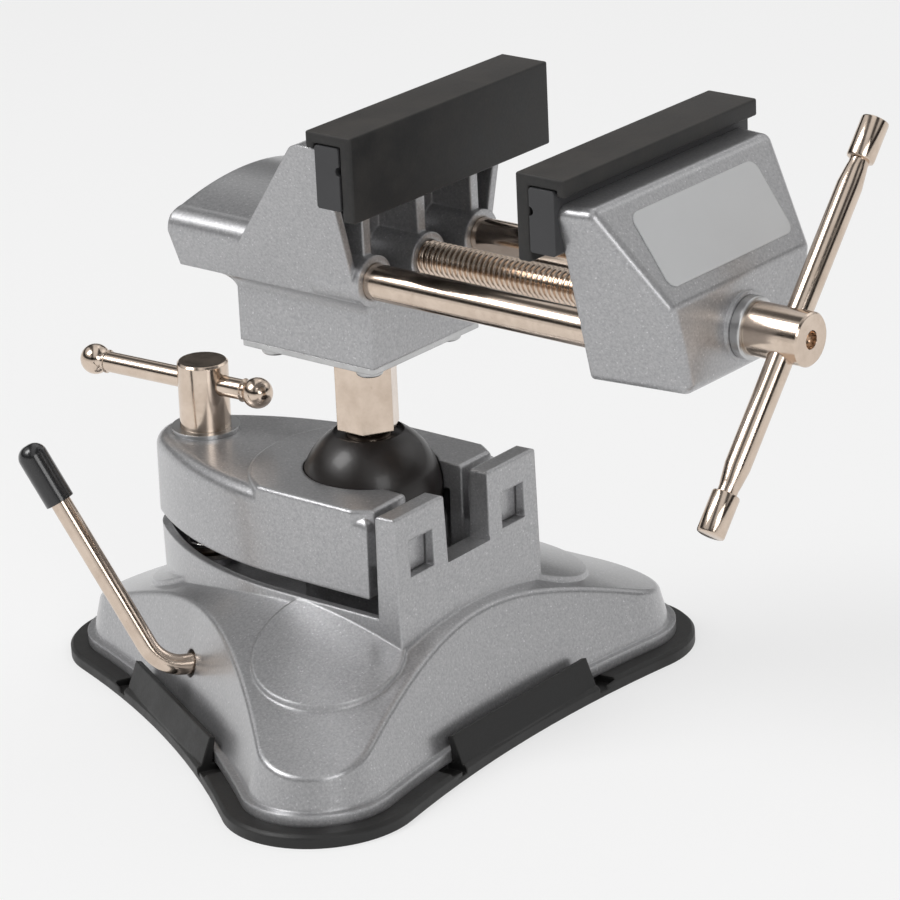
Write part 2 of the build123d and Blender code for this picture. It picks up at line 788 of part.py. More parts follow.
cove = flare_start - block_shoulder
with BuildPart() as hood:
    with BuildSketch(Plane.YZ.offset(hood_rear)):
        with BuildLine():
            shoulder = flare(hood_shoulder)
            Line((-flare_start_half_width, flare_start), (flare_start_half_width, flare_start))
            Line((flare_start_half_width, flare_start), (shoulder, hood_shoulder))
            ThreePointArc(
                (shoulder, hood_shoulder),
                (shoulder - 1.1, hood_shoulder + 3.4),
                (shoulder - 4.4, hood_shoulder + 5.0),
            )
            ThreePointArc(
                (shoulder - 4.4, hood_shoulder + 5.0),
                (0, hood_crown),
                (4.4 - shoulder, hood_shoulder + 5.0),
            )
            ThreePointArc(
                (4.4 - shoulder, hood_shoulder + 5.0),
                (1.1 - shoulder, hood_shoulder + 3.4),
                (-shoulder, hood_shoulder),
            )
            Line((-shoulder, hood_shoulder), (-flare_start_half_width, flare_start))
        make_face()
    extrude(amount=block_front - 12 - hood_rear)
    with BuildSketch(Plane.XZ):
        with BuildLine():
            Polyline(
                (hood_rear_foot, flare_start - 1),
                (hood_rear_foot, flare_start),
                (hood_rear, hood_shoulder),
                (hood_rear, hood_crown - 5.5),
                (hood_rear + 2.6, hood_crown + 1),
                (block_front, hood_crown + 1),
                (block_front, flare_start - 1),
                close=True,
            )
        make_face()
    extrude(amount=50, both=True, mode=Mode.INTERSECT)

with BuildPart() as back_jaw:
    with BuildSketch(Plane.YZ.offset(block_rear - cove)):
        with BuildLine():
            for side in (1, -1):
                Polyline(
                    (0, block_bottom),
                    (side * block_half_width, block_bottom),
                    (side * block_half_width, block_shoulder),
                )
                RadiusArc(
                    (side * block_half_width, block_shoulder),
                    (side * flare_start_half_width, flare_start),
                    side * 6,
                )
                Polyline(
                    (side * flare_start_half_width, flare_start),
                    (side * flare_top_half_width, jaw_top),
                    (0, jaw_top),
                )
        make_face()
    extrude(amount=block_length + cove)
    with BuildSketch(Plane.XZ):
        with BuildLine():
            Line((block_rear, block_shoulder), (block_rear, block_bottom))
            Line((block_rear, block_bottom), (block_front, block_bottom))
            Line((block_front, block_bottom), (block_front, jaw_top))
            Line((block_front, jaw_top), (jaw_top_rear, jaw_top))
            Line((jaw_top_rear, jaw_top), (block_rear, flare_start + 1.0))
            Line((block_rear, flare_start + 1.0), (block_rear - cove, flare_start + 1.0))
            Line((block_rear - cove, flare_start + 1.0), (block_rear - cove, flare_start))
            RadiusArc((block_rear - cove, flare_start), (block_rear, block_shoulder), 5)
        make_face()
    extrude(amount=50, both=True, mode=Mode.INTERSECT)
    top_edges = back_jaw.edges().filter_by(Axis.Y).group_by(Axis.Z)[-1].sort_by(Axis.X)
    fillet(top_edges[0], radius=4.0)
    add(hood.part)
    # pockets between thin ribs in the front face
    with BuildSketch(Plane.YZ.offset(block_front)):
        for side in (-1, 1):
            with Locations((side * rod_spacing / 2, (pocket_bottom + pocket_top) / 2)):
                Rectangle(rod_spacing - rib_width, pocket_top - pocket_bottom)
            with BuildLine():
                outer_low = flare_start_half_width - 2
                outer_high = outer_low + flare_slope * (pocket_top - flare_start)
                rib_side = rod_spacing + rib_width / 2
                Polyline(
                    (side * rib_side, pocket_bottom + 6),
                    (side * (outer_low + 1.6), pocket_bottom + 6),
                    (side * outer_high, pocket_top),
                    (side * rib_side, pocket_top),
                    close=True,
                )
            make_face()
    extrude(amount=-pocket_depth, mode=Mode.SUBTRACT)
    # bosses and bores for the guide rods and the lead screw
    with BuildSketch(Plane.YZ.offset(block_front - pocket_depth - 1)):
        for side in rod_sides:
            with Locations((side, rod_height)):
                Circle(boss_radius)
    extrude(amount=pocket_depth + 1 + boss_proud)
    with BuildSketch(Plane.YZ.offset(hood_rear - 5)):
        for side, radius in zip(rod_sides, (rod_radius, screw_radius, rod_radius)):
            with Locations((side, rod_height)):
                Circle(radius + running_clearance)
    extrude(amount=80, mode=Mode.SUBTRACT)
    # holes for the plate screws
    with BuildSketch(Plane.XY.offset(block_bottom)):
        with Locations((block_centre, 0)):
            with GridLocations(plate_screw_spacing, plate_screw_spacing, 2, 2):
                Circle(plate_screw_radius)
    extrude(amount=plate_screw_length, mode=Mode.SUBTRACT)
save(back_jaw.part, "back_jaw", head_pose)

# ---------------------------------------------------------------------------
# Jaw inserts and rubber covers, the front pair mirrored
# ---------------------------------------------------------------------------


def jaw_insert(face_x, facing):
    """Bar on a jaw's gripping side; facing is +1 towards +X."""
    near = face_x
    far = face_x + facing * insert_thickness
    with BuildPart() as bar:
        with BuildSketch(Plane.XZ):
            with Locations(((near + far) / 2, (insert_bottom + insert_top) / 2)):
                Rectangle(insert_thickness, insert_top - insert_bottom)
        extrude(amount=insert_half_length, both=True)
        chamfer(bar.edges().filter_by(Axis.Y), length=0.4)
        # half-round notch in the end
        for side in (-1, 1):
            with Locations((far, side * insert_half_length, insert_top - 5)):
                Cylinder(1.0, 4, rotation=(90, 0, 0), mode=Mode.SUBTRACT)
    return bar.part


def jaw_cover(face_x, facing):
    """Rubber channel over an insert, hooked over the top of the casting."""
    inner = face_x + facing * (insert_thickness + cover_gap)
    outer = inner + facing * cover_wall
    lip_inner = face_x - facing * 0.5
    lip_outer = lip_inner - facing * cover_lip
    ceiling = insert_top + cover_gap
    with BuildPart() as channel:
        with BuildSketch(Plane.XZ):
            with BuildLine():
                Polyline(
                    (outer, cover_bottom),
                    (outer, cover_top),
                    (lip_outer, cover_top),
                    (lip_outer, cover_lip_bottom),
                    (lip_inner, cover_lip_bottom),
                    (lip_inner, ceiling),
                    (inner, ceiling),
                    (inner, cover_bottom),
                    close=True,
                )
            make_face()
        extrude(amount=cover_half_length, both=True)
        rim = channel.edges().filter_by(Axis.Y).group_by(Axis.Z)[-1]
        fillet(rim, radius=0.7)
    return channel.part


save(jaw_insert(block_front, 1), "back_insert", head_pose)
save(jaw_cover(block_front, 1), "back_cover", head_pose)
save(jaw_insert(front_casting, -1), "front_insert", head_pose)
save(jaw_cover(front_casting, -1), "front_cover", head_pose)

# ---------------------------------------------------------------------------
# Front jaw casting, label, guide rods
# ---------------------------------------------------------------------------


def front_half_width(x, z):
    """Half width of the front jaw, which flares upwards and tapers forwards."""
    return front_base_half_width + front_flare * (z - label_foot) - front_taper * (x - front_casting)


label_top_x = front_casting + front_ledge
label_foot_x = front_casting + front_nose
low_z = front_foot - front_belly - 1
high_z = front_top + 1

with BuildPart() as front_jaw:
    for level in (low_z, high_z):
        with BuildSketch(Plane.XY.offset(level)):
            with BuildLine():
                back_x = front_casting
                tip_x = front_casting + 30
                Polyline(
                    (back_x, -front_half_width(back_x, level)),
                    (tip_x, -front_half_width(tip_x, level)),
                    (tip_x, front_half_width(tip_x, level)),
                    (back_x, front_half_width(back_x, level)),
                    close=True,
                )
            make_face()
    loft(ruled=True)
    with BuildSketch(Plane.XZ):
        with BuildLine():
            Polyline(
                (front_casting, low_z),
                (hub_face, low_z),
                (label_foot_x, label_foot),
                (label_top_x, front_top),
                (front_casting, front_top),
                close=True,
            )
        make_face()
    extrude(amount=60, both=True, mode=Mode.INTERSECT)
    with BuildSketch(Plane.YZ.offset(front_casting)):
        with BuildLine():
            Polyline((-50, front_foot), (-50, 120), (50, 120), (50, front_foot))
            ThreePointArc((50, front_foot), (0, front_foot - front_belly), (-50, front_foot))
        make_face()
    extrude(amount=60, mode=Mode.INTERSECT)
    face_edges = front_jaw.faces().filter_by(Axis.X).sort_by(Axis.X)[0].edges()
    fillet(front_jaw.edges() - face_edges, radius=2.4)
    # round pad that the screw's collar bears on
    with BuildSketch(Plane.YZ.offset(front_casting + 10)):
        with Locations((0, rod_height)):
            Circle(collar_radius + 0.8)
    extrude(amount=front_depth - 10)
    # sockets for the guide rods, journal for the screw, recess for its clip
    with BuildSketch(Plane.YZ.offset(front_casting)):
        for side in (-rod_spacing, rod_spacing):
            with Locations((side, rod_height)):
                Circle(rod_radius)
    extrude(amount=rod_socket, mode=Mode.SUBTRACT)
    with BuildSketch(Plane.YZ.offset(front_casting - 1)):
        with Locations((0, rod_height)):
            Circle(screw_radius + running_clearance)
    extrude(amount=60, mode=Mode.SUBTRACT)
    with BuildSketch(Plane.YZ.offset(front_casting - 1)):
        with Locations((0, rod_height)):
            Circle(clip_radius + 0.6)
    extrude(amount=1 + clip_recess, mode=Mode.SUBTRACT)
save(front_jaw.part, "front_jaw", head_pose)

label_slope = Vector(label_foot_x - label_top_x, 0, label_foot - front_top).normalized()
label_normal = Vector(-label_slope.Z, 0, label_slope.X)
label_centre = Vector((label_foot_x + label_top_x) / 2, 0, (label_foot + front_top) / 2)
with BuildPart() as label_plate:
    with BuildSketch(Plane(origin=label_centre, x_dir=(0, 1, 0), z_dir=label_normal)):
        RectangleRounded(label_width, label_height, 2.4)
    extrude(amount=label_thickness)
save(label_plate.part, "label_plate", head_pose)

for side, name in ((-1, "guide_rod_near"), (1, "guide_rod_far")):
    with BuildPart() as guide_rod:
        with BuildSketch(Plane.YZ.offset(rod_rear)):
            with Locations((side * rod_spacing, rod_height)):
                Circle(rod_radius)
        extrude(amount=front_casting + rod_socket - rod_rear)
        chamfer(guide_rod.edges().group_by(Axis.X)[0], length=0.6)
    save(guide_rod.part, name, head_pose)

# ---------------------------------------------------------------------------
# Lead screw, clip, hub, collar, handle
# ---------------------------------------------------------------------------

screw_end = hub_face + collar_thickness
with BuildPart() as lead_screw:
    with BuildSketch(Plane.YZ.offset(screw_rear)):
        with Locations((0, rod_height)):
            Circle(screw_radius)
    extrude(amount=screw_end - screw_rear)
    chamfer(lead_screw.edges().group_by(Axis.X)[0], length=0.8)
save(lead_screw.part, "lead_screw", head_pose)

with BuildPart() as screw_clip:
    with BuildSketch(Plane.YZ.offset(front_casting + clip_recess - clip_thickness - 0.1)):
        with Locations((0, rod_height)):
            Circle(clip_radius)
            Circle(screw_radius, mode=Mode.SUBTRACT)
    extrude(amount=clip_thickness)
save(screw_clip.part, "screw_clip", head_pose)

with BuildPart() as screw_collar:
    with BuildSketch(Plane.YZ.offset(hub_face + 0.1)):
        with Locations((0, rod_height)):
            Circle(collar_radius)
            Circle(screw_radius, mode=Mode.SUBTRACT)
    extrude(amount=collar_thickness - 0.1)
    fillet(screw_collar.faces().sort_by(Axis.X)[-1].edges().sort_by(SortBy.LENGTH)[-1], radius=0.5)
save(screw_collar.part, "screw_collar", head_pose)

handle_heading = math.radians(handle_angle)
handle_axis = Vector(0, math.sin(handle_heading), math.cos(handle_heading))
handle_middle = Vector(handle_x, 0, rod_height) + handle_axis * handle_shift

with BuildPart() as screw_hub:
    with BuildSketch(Plane.YZ.offset(screw_end)):
        with Locations((0, rod_height)):
            Circle(hub_radius)
    extrude(amount=hub_length - collar_thickness)
    chamfer(screw_hub.edges().group_by(Axis.X)[-1], length=0.4)
    with BuildSketch(Plane.YZ.offset(hub_face + hub_length - hub_bore_depth)):
        with Locations((0, rod_height)):
            Circle(hub_bore_radius)
    extrude(amount=hub_bore_depth, mode=Mode.SUBTRACT)
    with BuildSketch(Plane(origin=(handle_x, 0, rod_height), z_dir=handle_axis)):
        Circle(handle_radius + running_clearance)
    extrude(amount=hub_radius + 3, both=True, mode=Mode.SUBTRACT)
save(screw_hub.part, "screw_hub", head_pose)

handle_half = handle_length / 2
neck_start = handle_half - handle_cap_length - handle_neck_length
with BuildPart() as handle_bar:
    with BuildSketch(Plane(origin=handle_middle, x_dir=(1, 0, 0), z_dir=handle_axis.cross(Vector(1, 0, 0)))):
        with BuildLine():
            along = lambda radius, run: (radius, -run)
            Polyline(
                along(0, -handle_half + 1),
                along(handle_neck_radius, -handle_half + 1),
                along(handle_neck_radius, -handle_half + handle_cap_length),
                along(handle_radius, -neck_start),
                along(handle_radius, neck_start),
                along(handle_neck_radius, handle_half - handle_cap_length),
                along(handle_neck_radius, handle_half - 1),
                along(0, handle_half - 1),
                close=True,
            )
        make_face()
    revolve(axis=Axis(handle_middle, handle_axis))
save(handle_bar.part, "handle_bar", head_pose)

with BuildPart() as handle_caps:
    for side in (-1, 1):
        cap_start = handle_middle + handle_axis * side * (handle_half - handle_cap_length)
        with BuildSketch(Plane(origin=cap_start, z_dir=handle_axis * side)):
            Circle(handle_cap_radius)
        extrude(amount=handle_cap_length)
    with BuildSketch(Plane(origin=handle_middle, z_dir=handle_axis)):
        Circle(handle_neck_radius)
    extrude(amount=handle_half - 1, both=True, mode=Mode.SUBTRACT)
save(handle_caps.part, "handle_caps", head_pose)
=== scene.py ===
"""Studio scene of a small bench vise on a ball joint and a vacuum base."""

import json
import logging
import math
from dataclasses import dataclass
from enum import Enum
from typing import Any, Callable, Sequence

import bmesh
import bpy
from mathutils import Matrix, Vector

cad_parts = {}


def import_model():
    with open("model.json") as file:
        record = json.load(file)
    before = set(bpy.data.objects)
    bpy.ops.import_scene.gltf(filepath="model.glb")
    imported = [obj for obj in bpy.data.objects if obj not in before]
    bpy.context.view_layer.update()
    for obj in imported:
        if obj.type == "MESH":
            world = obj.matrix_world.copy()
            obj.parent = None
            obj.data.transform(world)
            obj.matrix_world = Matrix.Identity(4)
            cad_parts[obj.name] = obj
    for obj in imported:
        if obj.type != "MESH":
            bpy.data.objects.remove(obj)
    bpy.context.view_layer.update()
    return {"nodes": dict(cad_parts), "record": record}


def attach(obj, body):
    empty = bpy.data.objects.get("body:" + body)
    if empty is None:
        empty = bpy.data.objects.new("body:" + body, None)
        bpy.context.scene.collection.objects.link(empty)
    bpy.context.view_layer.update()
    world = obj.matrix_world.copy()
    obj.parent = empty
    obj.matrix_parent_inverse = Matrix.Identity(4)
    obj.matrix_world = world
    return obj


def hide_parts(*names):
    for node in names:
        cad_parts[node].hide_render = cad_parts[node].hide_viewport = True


logging.basicConfig(level=logging.INFO, format="%(message)s")
LOG = logging.getLogger("vise")

MM = 0.001
Stops = Sequence[tuple[float, tuple[float, float, float, float]]]
Profile = Sequence[tuple[float, float]]

# Solids of the base that meet flush, and the height of the cut between them.
FLUSH_NODES = ("base_casting", "post_near", "post_far")
FLUSH_HEIGHT = 0.0415


class Body(Enum):
    """The rigid bodies that pieces ride on."""

    BASE = "base"
    PULLER = "vacuum_puller"
    LEVER = "vacuum_lever"
    ARM = "clamp_arm"
    CLAMP_SCREW = "clamp_screw"
    CLAMP_BAR = "clamp_bar"
    SEAT = "ball_seat"
    BALL = "ball"
    HEAD = "vise_head"
    BACK_COVER = "back_cover"
    FRONT_JAW = "front_jaw"
    FRONT_COVER = "front_cover"
    SCREW = "lead_screw"
    HANDLE = "handle"


def grey(level: float, alpha: float = 1.0) -> tuple[float, float, float, float]:
    """A neutral colour for a ramp stop."""
    return (level, level, level, alpha)


def rgba(colour: tuple[float, float, float]) -> tuple[float, float, float, float]:
    """A colour with full alpha."""
    return (*colour, 1.0)


# ---------------------------------------------------------------------------
# Shader maths
# ---------------------------------------------------------------------------


class Value:
    """A shader socket that Python operators extend with Math nodes."""

    def __init__(self, shade: "Shade", socket: bpy.types.NodeSocket) -> None:
        self.shade = shade
        self.socket = socket

    def _math(self, operation: str, first: Any, second: Any) -> "Value":
        """Adds one Math node.

        Args:
            operation: the node's operation.
            first: a number or a value.
            second: a number or a value.

        Returns:
            The node's result.
        """
        return self.shade.node("Math", {"operation": operation}, {0: first, 1: second})

    def __add__(self, other: Any) -> "Value":
        """This value plus another."""
        return self._math("ADD", self, other)

    def __radd__(self, other: Any) -> "Value":
        """Another value plus this one."""
        return self._math("ADD", other, self)

    def __sub__(self, other: Any) -> "Value":
        """This value less another."""
        return self._math("SUBTRACT", self, other)

    def __rsub__(self, other: Any) -> "Value":
        """Another value less this one."""
        return self._math("SUBTRACT", other, self)

    def __mul__(self, other: Any) -> "Value":
        """This value times another."""
        return self._math("MULTIPLY", self, other)

    def __rmul__(self, other: Any) -> "Value":
        """Another value times this one."""
        return self._math("MULTIPLY", other, self)

    def least(self, other: Any) -> "Value":
        """The smaller of this value and another."""
        return self._math("MINIMUM", self, other)

    def most(self, other: Any) -> "Value":
        """The larger of this value and another."""
        return self._math("MAXIMUM", self, other)


class Shade:
    """A node tree that is filled one node at a time."""

    def __init__(self, tree: bpy.types.NodeTree) -> None:
        self.tree = tree
        tree.nodes.clear()

    def node(
        self,
        kind: str,
        settings: dict[str, Any] | None = None,
        sockets: dict[str | int, Any] | None = None,
        out: str | int = 0,
    ) -> Value:
        """Adds a node.

        Args:
            kind: the node's type, without its ShaderNode prefix.
            settings: properties set before the sockets; "stops" fills a ramp.
            sockets: numbers, colours or values for the input sockets.
            out: the output socket that is returned.

        Returns:
            The chosen output.
        """
        made = self.tree.nodes.new("ShaderNode" + kind)
        for name, value in (settings or {}).items():
            if name == "stops":
                self._fill_ramp(made.color_ramp, value)
            else:
                setattr(made, name, value)
        for name, value in (sockets or {}).items():
            if isinstance(value, Value):
                self.tree.links.new(value.socket, made.inputs[name])
            else:
                made.inputs[name].default_value = value
        return Value(self, made.outputs[out])

    @staticmethod
    def _fill_ramp(ramp: bpy.types.ColorRamp, stops: Stops) -> None:
        """Sets a colour ramp's stops."""
        ramp.elements.remove(ramp.elements[-1])
        ramp.elements[0].position = stops[0][0]
        ramp.elements[0].color = stops[0][1]
        for place, colour in stops[1:]:
            ramp.elements.new(place).color = colour

    def place(self) -> Value:
        """Object coordinates, in metres."""
        return self.node("TexCoord", out="Object")

    def noise(self, size: float, detail: float = 3.0, rough: float = 0.55) -> Value:
        """Noise between 0 and 1.

        Args:
            size: width of one feature, in metres.
            detail: octaves.
            rough: strength of the finer octaves.

        Returns:
            The noise.
        """
        sockets = {"Vector": self.place(), "Scale": 1 / size, "Detail": detail, "Roughness": rough}
        return self.node("TexNoise", None, sockets, "Fac")

    def cells(self, size: float, out: str = "Distance") -> Value:
        """Voronoi cells of one size in metres."""
        return self.node("TexVoronoi", None, {"Vector": self.place(), "Scale": 1 / size}, out)

    def ramp(self, value: Value, low: float, high: float) -> Value:
        """A value stretched so that low becomes 0 and high becomes 1."""
        settings = {"clamp": True}
        return self.node("MapRange", settings, {"Value": value, "From Min": low, "From Max": high})

    def mix(self, factor: Any, first: Any, second: Any) -> Value:
        """A blend of two colours.

        Args:
            factor: 0 for the first, 1 for the second.
            first: a colour or a value.
            second: a colour or a value.

        Returns:
            The blended colour.
        """
        sockets = {0: factor, 6: first, 7: second}
        return self.node("Mix", {"data_type": "RGBA", "clamp_factor": True}, sockets, 2)

    def bump(self, height: Value, depth: float, under: Value | None = None) -> Value:
        """A bumped normal.

        Args:
            height: the height, from 0 to 1.
            depth: depth of a full step, in metres.
            under: a normal to start from.

        Returns:
            The normal.
        """
        sockets = {"Height": height, "Distance": depth, "Strength": 1.0}
        if under is not None:
            sockets["Normal"] = under
        return self.node("Bump", None, sockets)

    def seen(self) -> Value:
        """1 for rays from the camera and for reflected and passing rays, else 0."""
        camera = self.node("LightPath", out="Is Camera Ray")
        glossy = self.node("LightPath", out="Is Glossy Ray")
        passing = self.node("LightPath", out="Is Transmission Ray")
        return (camera + glossy + passing).least(1.0)

    def rounded(self, radius: float) -> Value:
        """A normal that softens edges as if they had that radius, in metres."""
        return self.node("Bevel", {"samples": 6}, {"Radius": radius})

    def edge(self, radius: float) -> Value:
        """A mask that is 1 on edges and corners and 0 on open faces."""
        normal = self.node("NewGeometry", out="Normal")
        joined = {0: self.rounded(radius), 1: normal}
        along = self.node("VectorMath", {"operation": "DOT_PRODUCT"}, joined, "Value")
        return self.ramp(1 - along, 0.02, 0.16)


# ---------------------------------------------------------------------------
# Finishes
# ---------------------------------------------------------------------------


@dataclass(frozen=True)
class Finish:
    """A finish with the values that are the same all over the surface."""

    name: str
    coat_roughness: float = 0.1
    specular: float = 0.5

    def surface(self, shade: Shade) -> dict[str | int, Any]:
        """The sockets of the shader that this finish fills."""
        raise NotImplementedError

    def material(self) -> bpy.types.Material:
        """Builds the material.

        Returns:
            The material with its nodes.
        """
        made = bpy.data.materials.new(self.name)
        made.use_nodes = True
        shade = Shade(made.node_tree)
        sockets = {"Coat Roughness": self.coat_roughness, "Specular IOR Level": self.specular}
        sockets.update(self.surface(shade))
        shader = shade.node("BsdfPrincipled", None, sockets)
        output = made.node_tree.nodes.new("ShaderNodeOutputMaterial")
        made.node_tree.links.new(shader.socket, output.inputs["Surface"])
        return made


@dataclass(frozen=True)
class HammeredPaint(Finish):
    """Silver paint with fine flakes and a lightly dimpled gloss."""

    dark: tuple[float, float, float] = (0.345, 0.345, 0.355)
    light: tuple[float, float, float] = (0.47, 0.468, 0.475)
    flake: tuple[float, float, float] = (0.78, 0.78, 0.79)
    dimple: float = 0.0006
    edge_radius: float = 0.0009
    seam: float | None = None

    def surface(self, shade: Shade) -> dict[str | int, Any]:
        """Flakes over a mottled silver ground, with dimples in the gloss.

        Args:
            shade: the material's nodes.

        Returns:
            The shader's sockets. Nothing is rounded at the seam's height, where
            two solids meet flush.
        """
        mottle = shade.ramp(shade.noise(self.dimple, 3.0, 0.7), 0.34, 0.66)
        ground = shade.mix(mottle, rgba(self.dark), rgba(self.light))
        flakes = shade.ramp(shade.cells(0.00030, "Color"), 0.84, 0.97)
        colour = shade.mix(flakes * 0.60, ground, rgba(self.flake))
        edges = shade.edge(self.edge_radius)
        normal = shade.rounded(self.edge_radius)
        if self.seam is not None:
            level = shade.node("SeparateXYZ", None, {0: shade.place()}, "Z")
            apart = (level - self.seam).most(self.seam - level)
            away = shade.ramp(apart, self.edge_radius, self.edge_radius * 1.2)
            edges = edges * away
            normal = shade.mix(away, shade.node("NewGeometry", out="Normal"), normal)
        colour = shade.mix(edges * 0.22, colour, rgba(self.flake))
        cloud = shade.noise(0.02, 2.0)
        height = shade.noise(self.dimple * 1.3, 2.0) * 0.7 + shade.noise(0.004, 1.0) * 0.3
        return {
            "Base Color": colour,
            "Metallic": 0.66 + flakes * 0.2,
            "Roughness": 0.27 + mottle * 0.06 + cloud * 0.06,
            "Coat Weight": 0.45 + cloud * 0.2,
            "Normal": shade.bump(height, 0.000022, normal),
        }


@dataclass(frozen=True)
class Plated(Finish):
    """Bright plating with fine wear."""

    colour: tuple[float, float, float] = (0.72, 0.60, 0.50)
    stain: tuple[float, float, float] = (0.36, 0.26, 0.19)
    rough: float = 0.09
    edge_radius: float = 0.0003

    def surface(self, shade: Shade) -> dict[str | int, Any]:
        """Plating with cloudy tarnish and hair-fine scratches."""
        cloud = shade.ramp(shade.noise(0.006, 4.0, 0.65), 0.35, 0.75)
        fine = shade.noise(0.0004, 4.0, 0.7)
        specks = shade.ramp(shade.noise(0.0012, 5.0, 0.75), 0.60, 0.72)
        colour = shade.mix(cloud * 0.35, rgba(self.colour), rgba(self.stain))
        colour = shade.mix(specks * 0.30, colour, rgba(self.stain))
        normal = shade.bump(fine, 0.000006, shade.rounded(self.edge_radius))
        return {
            "Base Color": colour,
            "Metallic": 1.0,
            "Roughness": self.rough + cloud * 0.09 + fine * 0.05,
            "Normal": normal,
        }


@dataclass(frozen=True)
class Rubber(Finish):
    """Black rubber, dusty where it is handled."""

    colour: tuple[float, float, float] = (0.020, 0.019, 0.019)
    dust: tuple[float, float, float] = (0.075, 0.067, 0.060)
    rough: float = 0.50
    grain: float = 0.0006
    dustiness: float = 0.5
    edge_radius: float = 0.0006

    def surface(self, shade: Shade) -> dict[str | int, Any]:
        """Moulded rubber with a fine grain and dust on top faces and edges."""
        cloud = shade.ramp(shade.noise(0.009, 5.0, 0.7), 0.38, 0.72)
        grain = shade.noise(self.grain, 3.0, 0.6)
        normal = shade.node("NewGeometry", out="Normal")
        upward = shade.node("SeparateXYZ", None, {0: normal}, "Z")
        top = shade.ramp(upward, 0.5, 0.95)
        mask = cloud * self.dustiness * 0.5 + top * self.dustiness * 0.55
        mask = mask + shade.edge(self.edge_radius) * self.dustiness * 0.6
        return {
            "Base Color": shade.mix(mask, rgba(self.colour), rgba(self.dust)),
            "Roughness": self.rough + cloud * 0.12 + grain * 0.10,
            "Normal": shade.bump(grain, 0.00003, shade.rounded(self.edge_radius)),
        }


@dataclass(frozen=True)
class Moulded(Finish):
    """Moulded plastic, vinyl or print film."""

    colour: tuple[float, float, float] = (0.1, 0.1, 0.1)
    rough: float = 0.45
    grain: float = 0.0004
    depth: float = 0.00001
    coat: float = 0.0
    shift: float = 0.12
    edge_radius: float = 0.0004

    def surface(self, shade: Shade) -> dict[str | int, Any]:
        """A nearly even colour with slight clouds and a fine grain."""
        cloud = shade.noise(0.008, 3.0)
        grain = shade.noise(self.grain, 3.0)
        lighter = tuple(min(1.0, part * (1 + self.shift) + 0.004) for part in self.colour)
        return {
            "Base Color": shade.mix(cloud, rgba(self.colour), rgba(lighter)),
            "Roughness": self.rough + cloud * 0.08 + grain * 0.05,
            "Coat Weight": self.coat + cloud * 0.05,
            "Normal": shade.bump(grain, self.depth, shade.rounded(self.edge_radius)),
        }


class Palette:
    """Every finish of the vise, built once."""

    def __init__(self) -> None:
        finishes = {
            "hammered_paint": HammeredPaint("silver_hammered_paint", coat_roughness=0.16),
            "seamless_paint": HammeredPaint(
                "base_hammered_paint", coat_roughness=0.16, seam=FLUSH_HEIGHT
            ),
            "nickel": Plated("warm_nickel"),
            "zinc": Plated(
                "bright_zinc", colour=(0.58, 0.58, 0.58), stain=(0.30, 0.30, 0.30), rough=0.24
            ),
            "spring_steel": Plated(
                "spring_steel", colour=(0.5, 0.49, 0.47), stain=(0.25, 0.24, 0.22)
            ),
            "mat_rubber": Rubber(
                "mat_rubber", colour=(0.010, 0.010, 0.010), dustiness=0.12, rough=0.40
            ),
            "cover_rubber": Rubber("cover_rubber", colour=(0.008, 0.008, 0.008), dustiness=0.60),
            "insert_plastic": Moulded("insert_plastic", colour=(0.035, 0.035, 0.037), rough=0.5),
            "black_cap": Moulded(
                "vinyl_cap", colour=(0.010, 0.010, 0.011), rough=0.20, coat=0.5
            ),
            "black_ball": Moulded(
                "black_ball", colour=(0.009, 0.006, 0.005), rough=0.30, coat=0.10
            ),
            "seat_plastic": Moulded("seat_plastic", colour=(0.60, 0.58, 0.54)),
            "label_grey": Moulded(
                "blank_label", colour=(0.56, 0.565, 0.57), rough=0.30, shift=0.04
            ),
        }
        self.materials = {slot: finish.material() for slot, finish in finishes.items()}

    def dress(self, piece: bpy.types.Object, slot: str) -> None:
        """Gives a piece one finish in place of whatever it had."""
        piece.data.materials.clear()
        piece.data.materials.append(self.materials[slot])


# ---------------------------------------------------------------------------
# Mesh helpers
# ---------------------------------------------------------------------------


def turned_x(degrees: float) -> Matrix:
    """A rotation about X."""
    return Matrix.Rotation(math.radians(degrees), 4, "X")


def turned_y(degrees: float) -> Matrix:
    """A rotation about Y."""
    return Matrix.Rotation(math.radians(degrees), 4, "Y")


def turned_z(degrees: float) -> Matrix:
    """A rotation about Z."""
    return Matrix.Rotation(math.radians(degrees), 4, "Z")


def millimetres(*point: float) -> Matrix:
    """A move by a distance given in millimetres."""
    return Matrix.Translation(Vector(point) * MM)


def aimed(point: Vector, axis: Vector) -> Matrix:
    """A frame at a point in millimetres whose Z runs along an axis."""
    turn = axis.to_track_quat("Z", "Y").to_matrix().to_4x4()
    return Matrix.Translation(point * MM) @ turn


def facing_end(side: int) -> Matrix:
    """A half turn for a bar's lower end, and none for its upper end."""
    return turned_x(180) if side < 0 else Matrix()


HEAD = millimetres(0, 0, 52.0) @ turned_x(0.4) @ turned_y(1.5) @ turned_z(-1.5)
ARM = millimetres(22.5, 0, 46.8) @ turned_y(2.1)


